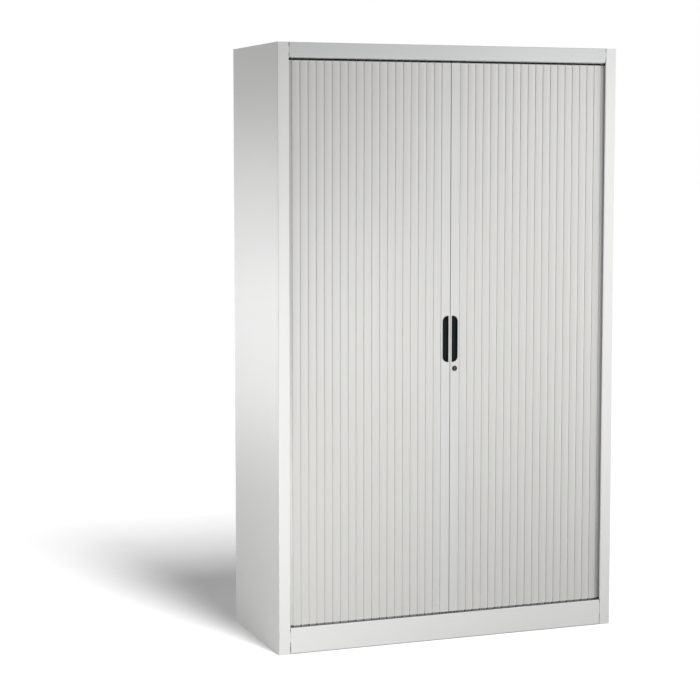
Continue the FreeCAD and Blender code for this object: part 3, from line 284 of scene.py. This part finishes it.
def piece(name, shells, slots, smooth_below=35.0):
    """A mesh object of several closed shells. A shell is its points, its quads and its
    end faces, and slots names the finish of each shell."""
    points, faces, finish_numbers, start = [], [], [], 0
    used = list(dict.fromkeys(slots))
    for (shell_points, quads, ends), slot in zip(shells, slots):
        made = [list(q) for q in quads + start] + [[i + start for i in end] for end in ends]
        points.append(shell_points)
        faces += made
        finish_numbers += [used.index(slot)] * len(made)
        start += len(shell_points)
    mesh = bpy.data.meshes.new(name)
    mesh.from_pydata(np.concatenate(points).tolist(), [], faces)
    for slot in used:
        mesh.materials.append(FINISHES[slot])
    mesh.polygons.foreach_set("material_index", finish_numbers)
    mesh.polygons.foreach_set("use_smooth", [True] * len(faces))
    mesh.update()
    mesh.set_sharp_from_angle(angle=math.radians(smooth_below))
    made = bpy.data.objects.new(name, mesh)
    bpy.context.scene.collection.objects.link(made)
    return made


def upright_prism(outline, low, high):
    """An outline, anticlockwise seen from above, carried straight up from low to high."""
    count = len(outline)
    rings = np.zeros((2, count, 3))
    rings[:, :, :2] = outline
    rings[0, :, 2], rings[1, :, 2] = low, high
    return (rings.reshape(-1, 3), closed_loop_faces(2, count),
            [list(range(count))[::-1], list(range(count, 2 * count))])


def turned(profile, centre, segments=24, ring=False):
    """A profile of (radius, height) pairs, going up on the outside, turned round a plumb
    axis: every point is the centre plus the radius times (cos a, sin a). A ring has no end
    faces: its profile goes up outside, comes down inside and meets its start."""
    angle = np.arange(segments) / segments * TURN
    profile = np.array(profile)
    rings = np.stack([
        centre[0] + profile[:, :1] * np.cos(angle), centre[1] + profile[:, :1] * np.sin(angle),
        np.repeat(profile[:, 1:], segments, 1)], -1)
    count = len(profile)
    ends = [] if ring else [list(range(segments))[::-1],
                            list(range((count - 1) * segments, count * segments))]
    return rings.reshape(-1, 3), closed_loop_faces(count, segments, ring), ends


def facing(shell, way, x, z):
    """A plumb shell about the origin, tipped so that its top looks along Y, forwards (-1)
    or backwards (1), and moved to x and z. Heights become distances along Y."""
    points, faces, ends = shell
    tipped = np.stack([points[:, 0] + x, way * points[:, 2], z - way * points[:, 1]], -1)
    return tipped, faces, ends


def arc(centre, radius, start, end, steps):
    """Points on a circle from the start angle to the end angle, in degrees."""
    angle = np.radians(np.linspace(start, end, steps))
    return np.stack([centre[0] + radius * np.cos(angle),
                     centre[1] + radius * np.sin(angle)], -1)


# Curtain slats

PITCH = 27.2 * MM
SLATS = 23
BAR_HINGE = 31.1 * MM
TRACK_FRONT, TRACK_SIDE = -227 * MM, 587 * MM
BEND = 45 * MM
SLAT_LOW, SLAT_HIGH = 92 * MM, 1913 * MM
HALF_THICK = 4 * MM
FACE_START, FACE_END = 2.6 * MM, 28.1 * MM
CROWN, SHOULDER = 1.1 * MM, 0.5 * MM
BACK_MARGIN, BACK_CHAMFER = 3.6 * MM, 2.2 * MM
BEAD, SOCKET, RING = 1.3 * MM, 1.5 * MM, 2.2 * MM
NECK = 0.6 * MM
ARM_LENGTH, ARM_HALF, ARM_THICK = 20 * MM, 2.6 * MM, 2 * MM
GUIDE_PIN, PIN_TIP, PIN_CHAMFER = 1.8 * MM, 1.2 * MM, 0.7 * MM
PIN_LOW, PIN_HIGH = 75.3 * MM, 1930 * MM
SEARCH_END, SEARCH_STEPS = 1.2, 2001


def track_point(distance):
    """Point of the right-hand track at that distance from the cabinet's middle: straight,
    then a quarter circle round the front corner, then straight along the side."""
    run = TRACK_SIDE - BEND
    turn = np.clip((distance - run) / BEND, 0, math.pi / 2)
    past = max(distance - run - BEND * math.pi / 2, 0)
    return np.array([min(distance, run) + BEND * math.sin(turn),
                     TRACK_FRONT + BEND * (1 - math.cos(turn)) + past])


def hinge_lines():
    """Hinge lines of the closed right-hand curtain, one slat pitch apart as the crow flies.
    In the bend the way along the track is longer than that, so each is searched."""
    distances = [BAR_HINGE]
    for _ in range(SLATS):
        here = track_point(distances[-1])
        steps = distances[-1] + np.linspace(1.0, SEARCH_END, SEARCH_STEPS) * PITCH
        apart = [np.hypot(*(track_point(step) - here)) for step in steps]
        distances.append(float(np.interp(PITCH, apart, steps)))
    return [track_point(distance) for distance in distances]


def slat_outline():
    """Section of a slat, anticlockwise seen from above, leading hinge line at the origin,
    front towards -Y: a crowned face that falls back with the square of the distance from
    its middle, rounded shoulders, a hooked trailing edge round the next hinge line and a
    bead on a neck round its own."""
    share = np.linspace(-1, 1, 17)
    middle, half = (FACE_START + FACE_END) / 2, (FACE_END - FACE_START) / 2
    face = np.stack([middle + share * (half - SHOULDER),
                     -HALF_THICK + (CROWN - SHOULDER / 2) * share ** 2], -1)
    lead = arc((FACE_START + SHOULDER, face[0, 1] + SHOULDER), SHOULDER, 180, 250, 4)
    trail = arc((FACE_END - SHOULDER, face[-1, 1] + SHOULDER), SHOULDER, -70, 0, 4)
    lip = math.degrees(math.acos((FACE_END - PITCH) / SOCKET))
    hook = arc((PITCH, 0), SOCKET, -lip, -270, 14)
    ring = arc((PITCH, 0), RING, 90, 150, 5)
    back = [(PITCH - BACK_MARGIN, HALF_THICK), (BACK_MARGIN, HALF_THICK),
            (FACE_START, HALF_THICK - BACK_CHAMFER), (FACE_START, NECK)]
    spread = math.degrees(math.asin(NECK / BEAD))
    bead = arc((0, 0), BEAD, spread, 360 - spread, 14)
    return np.concatenate([lead, face, trail, hook, ring, back, bead, [(FACE_START, -NECK)]])


def placed_along(outline, start, end, side):
    """The outline with its own X axis laid from start to end, mirrored on the left side."""
    along = (end - start) / np.hypot(*(end - start))
    across = np.array([-along[1], along[0]])
    moved = start + outline[:, :1] * along + outline[:, 1:] * across
    return moved if side == RIGHT else (moved * (-1, 1))[::-1]


def slat(side, number, start, end):
    """One slat with the plug, arm and guide pin in each of its ends."""
    def place(outline):
        return placed_along(np.array(outline), start, end, side)

    arm = [(-GUIDE_PIN, -ARM_HALF), (ARM_LENGTH, -ARM_HALF), (ARM_LENGTH, ARM_HALF),
           (-GUIDE_PIN, ARM_HALF)]
    arm_low, arm_high = SLAT_LOW - ARM_THICK, SLAT_HIGH + ARM_THICK
    pin_at = place([(0, 0)])[0]
    lower_pin = [(PIN_TIP, PIN_LOW), (GUIDE_PIN, PIN_LOW + PIN_CHAMFER), (GUIDE_PIN, arm_low)]
    upper_pin = [(GUIDE_PIN, arm_high), (GUIDE_PIN, PIN_HIGH - PIN_CHAMFER), (PIN_TIP, PIN_HIGH)]
    shells = [
        upright_prism(place(slat_outline()), SLAT_LOW, SLAT_HIGH),
        upright_prism(place(arm), arm_low, SLAT_LOW),
        upright_prism(place(arm), SLAT_HIGH, arm_high),
        turned(lower_pin, pin_at, 16),
        turned(upper_pin, pin_at, 16),
    ]
    return piece(f"{SIDE_NAMES[side]}_slat_{number:02d}", shells,
                 ["slat_plastic"] + ["guide_plastic"] * 4)


TRAVEL = 520 * MM
POCKET_START = 563.5 * MM
# Length of a blend line long enough to give all points of a slat the same weight; its ends are
# worked out but no blend is made
BLEND_SPAN = 1e4
BLEND_HEIGHT = 1.0


def share_for(weight):
    """The t at which t squared times (3 - 2t) equals the weight, by halving."""
    low, high = 0.0, 1.0
    for _ in range(60):
        middle = (low + high) / 2
        low, high = (middle, high) if middle ** 2 * (3 - 2 * middle) < weight else (low, middle)
    return low


def curtain(side):
    """All slats of a leaf, each with the weight that would take it just behind the stile when
    the leaf is open. Those that are there already stay with the cabinet; the others are not
    blended and keep their place."""
    hinges = hinge_lines()
    for number in range(SLATS):
        start, end = hinges[number], hinges[number + 1]
        made = slat(side, number + 1, start, end)
        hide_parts(f"{SIDE_NAMES[side]}_curtain_slats", f"{SIDE_NAMES[side]}_curtain_guides")
        inside = POCKET_START + GUIDE_PIN - start[0]
        weight = min(max(inside / TRAVEL, 0.0), 1.0)
        if weight == 0:
            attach(made, "cabinet")
            continue
        t = share_for(weight)
        middle = Vector((side * start[0], start[1], BLEND_HEIGHT))
        along = Vector((side * BLEND_SPAN, 0, 0))
        middle - along * t
        middle + along * (1 - t)
        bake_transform(made)


curtain(LEFT)
curtain(RIGHT)


# Finger cups

CUP_NEAR, CUP_FAR = 5.7 * MM, 27.0 * MM
CUP_LOW, CUP_HIGH = 931.5 * MM, 1085.5 * MM
CUP_LARGE, CUP_SMALL = 18.3 * MM, 2.4 * MM
BAR_FACE = -231 * MM


def cup_loop(side, inset, depth):
    """D outline, anticlockwise seen from the front, at that inset and depth behind the bar's
    face: four quarter circles, joined by straight runs, each centred its own radius inside
    the straight runs next to it. The radii shrink where both wouldn't fit side by side."""
    near, far = CUP_NEAR + inset, CUP_FAR - inset
    low, high = CUP_LOW + inset, CUP_HIGH - inset
    small = min(CUP_SMALL, 0.3 * (far - near))
    large = min(CUP_LARGE - inset, far - near - small)
    outline = np.concatenate([
        arc((near + small, low + small), small, 180, 270, 6),
        arc((far - large, low + large), large, 270, 360, 20),
        arc((far - large, high - large), large, 0, 90, 20),
        arc((near + small, high - small), small, 90, 180, 6)])
    loop = np.stack([outline[:, 0], np.full(len(outline), BAR_FACE + depth), outline[:, 1]], -1)
    return loop if side == RIGHT else (loop * (-1, 1, 1))[::-1]


# (inset, depth) in mm from the middle of the cup's back, round its rim, to the middle of its
# floor
CUP_PROFILE = [
    (9.0, 12.0), (4.6, 12.0), (2.6, 11.5), (1.5, 10.2), (0.95, 8.0), (0.95, 0.0), (0.0, 0.0),
    (0.0, -0.3), (0.1, -0.55), (0.35, -0.74), (0.7, -0.8), (1.3, -0.8), (1.65, -0.7),
    (1.9, -0.45), (2.0, 0.0), (2.3, 4.5), (2.6, 8.4), (2.9, 9.5), (3.6, 10.4), (4.6, 10.85),
    (6.0, 11.0), (9.0, 11.0)]


def finger_cup(side):
    """Cup with a rounded rim: the D outline carried along the profile above."""
    loops = np.concatenate([cup_loop(side, inset * MM, depth * MM) for inset, depth in CUP_PROFILE])
    count = len(loops) // len(CUP_PROFILE)
    ends = [list(range(count))[::-1], list(range(len(loops) - count, len(loops)))]
    made = piece(f"{SIDE_NAMES[side]}_cup_shell",
                 [(loops, closed_loop_faces(len(CUP_PROFILE), count), ends)], ["cup_plastic"], 40)
    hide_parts(f"{SIDE_NAMES[side]}_finger_cup")
    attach(made, f"{SIDE_NAMES[side]}_leaf")


finger_cup(LEFT)
finger_cup(RIGHT)


# Lock

# (radius, distance in front of the bar's face) in mm, forwards outside and back in the bore
RIM_PROFILE = [
    (8.4, -18.3), (8.4, -0.02), (9, -0.02), (9, 0.5), (8.85, 0.8), (8.5, 1), (7.4, 1),
    (6.9, 0.85), (6.3, 0.3), (6.05, 0), (6.05, -18.3)]


def lock_rim():
    """Barrel and rim of the lock's housing as one ring."""
    heights = [(radius * MM, ahead * MM - BAR_FACE) for radius, ahead in RIM_PROFILE]
    shell = facing(turned(heights, (0, 0), 48, ring=True), -1, LOCK_X, LOCK_HEIGHT)
    made = piece("lock_rim", [shell], ["lock_metal"])
    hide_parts("lock_housing")
    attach(made, "right_leaf")


lock_rim()


# Rivets at the back

RIVETS_PER_ROW, RIVET_ASIDE = 6, 34 * MM
HEAD_RADIUS, HEAD_UNDERSIDE = 4 * MM, 238.7 * MM
DOME_FOOT, DOME_RISE = 0.05 * MM, 1.0 * MM


def domed_rivets():
    """Shank, flat collar and a dome that falls off as an ellipse does, with a dimple. The
    heights of the profile are counted from the head's underside."""
    dome = [(HEAD_RADIUS * math.cos(a), DOME_FOOT + DOME_RISE * math.sin(a))
            for a in np.linspace(0.15, 1.2, 6)]
    shank = [(2 * MM, -3.5 * MM), (2 * MM, 0)]
    dimple = [(1.1 * MM, 1.05 * MM), (0.9 * MM, 0.7 * MM)]
    profile = shank + [(HEAD_RADIUS, 0)] + dome + dimple
    heights = [(radius, HEAD_UNDERSIDE + rise) for radius, rise in profile]
    low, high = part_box("back_rivets")
    levels = np.linspace(low[2] + HEAD_RADIUS, high[2] - HEAD_RADIUS, RIVETS_PER_ROW)
    shells = [facing(turned(heights, (0, 0), 20), 1, side * RIVET_ASIDE, level)
              for side in (LEFT, RIGHT) for level in levels]
    made = piece("domed_rivets", shells, ["zinc_steel"] * len(shells), 40)
    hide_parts("back_rivets")
    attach(made, "cabinet")


domed_rivets()


# Levelling feet

FOOT_X, FOOT_Y = 555 * MM, 190 * MM
THREAD_PITCH, THREAD_DEPTH, ROWS_PER_PITCH = 1.5 * MM, 0.55 * MM, 4
STUD_RADIUS, STUD_LOW, STUD_HIGH = 5 * MM, 5.3 * MM, 66 * MM
COLLAR_CORNER, COLLAR_END = 8 * MM, 7.3 * MM
COLLAR_LOW, COLLAR_HIGH, COLLAR_BEVEL = 12.3 * MM, 18.3 * MM, 0.6 * MM
KNURLS, KNURL_SHARE = 32, 0.02
# (radius, height) in mm, from the pad's underside over its edge and cone into its socket
PAD_PROFILE = [(17, 0), (19.2, 0), (19.8, 0.5), (20, 1.0), (20, 3.2), (19.4, 4.2), (11, 11.4),
               (10.4, 11.9), (10, 12), (5.6, 12), (5.05, 11.5), (5.05, 5)]
EDGE_FROM = 19.5 * MM


def thread(x, y, low, high):
    """Screw thread: the radius falls from the crest by the depth times a triangle wave of
    height over pitch less the share of a turn. It fades out at both ends."""
    segments, rows = 20, int((high - low) / THREAD_PITCH * ROWS_PER_PITCH) + 1
    angle = np.arange(segments) / segments * TURN
    level = np.linspace(low, high, rows)[:, None]
    wave = (level / THREAD_PITCH - angle / TURN) % 1
    fall = np.abs(2 * wave - 1)
    fade = np.clip(np.minimum(level - low, high - level) / THREAD_PITCH, 0, 1)
    radius = STUD_RADIUS - THREAD_DEPTH * (1 - fade * (1 - fall))
    rings = np.stack([x + radius * np.cos(angle), y + radius * np.sin(angle),
                      np.broadcast_to(level, radius.shape)], -1)
    ends = [list(range(segments))[::-1], list(range((rows - 1) * segments, rows * segments))]
    return rings.reshape(-1, 3), closed_loop_faces(rows, segments), ends


def hexagon_collar(x, y, low, high):
    """Hexagon whose six corners are drawn in at both ends."""
    profile = [(COLLAR_END, low), (COLLAR_CORNER, low + COLLAR_BEVEL),
               (COLLAR_CORNER, high - COLLAR_BEVEL), (COLLAR_END, high)]
    return turned(profile, (x, y), 6)


def grip_pad(x, y):
    """Pad with a coned top, a socket and a knurled edge: the edge's radius swings with the
    cosine of the angle times the number of knurls."""
    segments = 4 * KNURLS
    profile = [(radius * MM, height * MM) for radius, height in PAD_PROFILE]
    points, faces, ends = turned(profile, (0, 0), segments)
    angle = np.tile(np.arange(segments) / segments * TURN, len(profile))
    edge = np.hypot(points[:, 0], points[:, 1]) > EDGE_FROM
    swing = 1 - KNURL_SHARE + KNURL_SHARE * np.cos(KNURLS * angle)
    points[:, :2] *= np.where(edge, swing, 1)[:, None]
    return points + (x, y, 0), faces, ends


def levelling_feet():
    """At each corner a pad and the stud that turns in it."""
    for end, y in (("front", -FOOT_Y), ("rear", FOOT_Y)):
        for side in (LEFT, RIGHT):
            x = side * FOOT_X
            corner = f"{end}_{SIDE_NAMES[side]}"
            pad = piece(f"{corner}_grip_pad", [grip_pad(x, y)], ["foot_plastic"], 30)
            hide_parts(f"{corner}_foot_pad")
            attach(pad, f"{corner}_pad")
            shells = [thread(x, y, STUD_LOW, STUD_HIGH),
                      hexagon_collar(x, y, COLLAR_LOW, COLLAR_HIGH)]
            stud = piece(f"{corner}_threaded_stud", shells, ["zinc_steel"] * 2, 50)
            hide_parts(f"{corner}_foot_stud")
            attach(stud, f"{corner}_stud")


levelling_feet()


# Studio

def lit_objects(name, thing, state):
    """A collection for a lamp's light linking: the lamp lights only the thing (INCLUDE) or
    all but the thing (EXCLUDE)."""
    linked = bpy.data.collections.new(name)
    linked.objects.link(thing)
    linked.collection_objects[0].light_linking.link_state = state
    return linked


def area(name, place, target, size, power, receivers):
    """Rectangular lamp, unseen by the camera, whose front looks at the target."""
    lamp = bpy.data.lights.new(name, "AREA")
    lamp.shape = "RECTANGLE"
    lamp.size, lamp.size_y = size
    lamp.energy = power
    made = bpy.data.objects.new(name, lamp)
    made.light_linking.receiver_collection = receivers
    made.location = place
    made.rotation_euler = (Vector(target) - Vector(place)).to_track_quat("-Z", "Y").to_euler()
    made.visible_camera = False
    bpy.context.scene.collection.objects.link(made)


def sun(name, heading, height, strength, spread, receivers):
    """Even light that travels along the heading, counted from +X, and falls from the
    height above the horizon. The spread is the sun's width. All three are in degrees."""
    lamp = bpy.data.lights.new(name, "SUN")
    lamp.energy = strength
    lamp.angle = math.radians(spread)
    made = bpy.data.objects.new(name, lamp)
    heading, height = math.radians(heading), math.radians(height)
    direction = (math.cos(heading) * math.cos(height), math.sin(heading) * math.cos(height),
                 -math.sin(height))
    made.rotation_euler = Vector(direction).to_track_quat("-Z", "Y").to_euler()
    made.light_linking.receiver_collection = receivers
    bpy.context.scene.collection.objects.link(made)


def seen_directly(tree):
    """1 for rays that a camera, a mirror or a glass sends out, and 0 for the rest."""
    path = tree.nodes.new("ShaderNodeLightPath")
    total = None
    for kind in ("Is Camera Ray", "Is Glossy Ray", "Is Transmission Ray"):
        if total is None:
            total = path.outputs[kind]
            continue
        either = tree.nodes.new("ShaderNodeMath")
        either.operation = "MAXIMUM"
        tree.links.new(total, either.inputs[0])
        tree.links.new(path.outputs[kind], either.inputs[1])
        total = either.outputs[0]
    return total


def mixed_by(tree, share, first, second, output):
    """Sends the first shader to the output, or the second where the share is 1."""
    mix = tree.nodes.new("ShaderNodeMixShader")
    tree.links.new(share, mix.inputs[0])
    tree.links.new(first, mix.inputs[1])
    tree.links.new(second, mix.inputs[2])
    tree.links.new(mix.outputs[0], output)


def white_world(ambient):
    """Even light on the object, plain white where it is seen."""
    world = bpy.data.worlds.new("studio")
    bpy.context.scene.world = world
    world.use_nodes = True
    tree = world.node_tree
    even = tree.nodes["Background"]
    white = tree.nodes.new("ShaderNodeBackground")
    for shader, strength in ((even, ambient), (white, 1.0)):
        shader.inputs["Color"].default_value = (1, 1, 1, 1)
        shader.inputs["Strength"].default_value = strength
    mixed_by(tree, seen_directly(tree), even.outputs[0], white.outputs[0],
             tree.nodes["World Output"].inputs["Surface"])


FLOOR_HALF, FLOOR_LEVEL = 60.0, -0.3 * MM


def studio_floor(own_light):
    """White floor that keeps the object's soft shadow. It sends little light back up."""
    corners = [(x * FLOOR_HALF, y * FLOOR_HALF, FLOOR_LEVEL)
               for x, y in ((-1, -1), (1, -1), (1, 1), (-1, 1))]
    mesh = bpy.data.meshes.new("studio_floor")
    mesh.from_pydata(corners, [], [(0, 1, 2, 3)])
    floor = bpy.data.objects.new("studio_floor", mesh)
    bpy.context.scene.collection.objects.link(floor)
    paint = Paint("white_floor")
    paint.finish(Base_Color=(0.1, 0.1, 0.1), Roughness=0.9, Specular_IOR_Level=0.1)
    bright = paint.tree.nodes.new("ShaderNodeBsdfPrincipled")
    for name, value in (("Base Color", (0.8, 0.8, 0.8, 1)), ("Roughness", 0.9),
                        ("Specular IOR Level", 0.1), ("Emission Color", (1, 1, 1, 1)),
                        ("Emission Strength", own_light)):
        bright.inputs[name].default_value = value
    mixed_by(paint.tree, seen_directly(paint.tree), paint.shader.outputs[0], bright.outputs[0],
             paint.tree.nodes["Material Output"].inputs["Surface"])
    mesh.materials.append(paint.material)
    return floor


white_world(ambient=0.1)
floor = studio_floor(own_light=0.21)
on_floor = lit_objects("only_floor", floor, "INCLUDE")
off_floor = lit_objects("all_but_floor", floor, "EXCLUDE")
for height in (48, 57, 66):
    sun(f"floor_light_{height}", heading=100, height=height, strength=1.15, spread=12,
        receivers=on_floor)
for name, place, target, size, power in (
    ("low_front_left", (-1.1, -1.7, 0.25), (-0.99, -0.24, 0.25), (0.6, 0.6), 17.8),
    ("front", (0, -1.7, 1.05), (0, -0.24, 1.05), (0.6, 0.6), 8.3),
    ("high_front", (0, -1.7, 1.85), (0, -0.24, 1.85), (0.6, 0.6), 2.1),
    ("high_front_right", (1.1, -1.7, 1.85), (0.99, -0.24, 1.85), (0.6, 0.6), 6.9),
    ("left", (-3.0, -0.4, 0.4), (-0.6, 0, 0.54), (1.4, 1.0), 15.7),
    ("low_rear_left", (-2.6, 4.2, 0.4), (-0.6, 0, 1.0), (1.6, 1.0), 26.6),
    ("rear_left", (-2.6, 4.2, 1.2), (-0.6, 0, 1.0), (1.6, 1.0), 20.8),
    ("right", (3.0, -1.2, 0.8), (0.6, 0, 1.0), (1.2, 1.2), 66),
    ("rear_right", (1.6, 3.2, 1.4), (0.3, 0.2, 1.0), (1.6, 1.6), 42),
    ("above", (0, 0.05, 4.2), (0, 0.05, 1.97), (1.0, 0.36), 34),
):
    area(name, place, target, size, power, off_floor)


# Camera

PHOTO_PIXELS, FOCAL_PIXELS, SHIFT_PIXELS = 700, 1876.7, -30
CAMERA_PLACE = -2.459, -5.903, 1.620
CAMERA_DIP, CAMERA_HEADING = 5.08, -20.37

camera_data = bpy.data.cameras.new("photo_camera")
camera_data.sensor_width = 36.0
camera_data.lens = FOCAL_PIXELS / PHOTO_PIXELS * camera_data.sensor_width
camera_data.shift_y = SHIFT_PIXELS / PHOTO_PIXELS
camera_data.clip_end = 200
camera = bpy.data.objects.new("photo_camera", camera_data)
camera.location = CAMERA_PLACE
camera.rotation_euler = math.radians(90 - CAMERA_DIP), 0, math.radians(CAMERA_HEADING)
bpy.context.scene.collection.objects.link(camera)
bpy.context.scene.camera = camera
bpy.context.scene.view_settings.view_transform = "Standard"
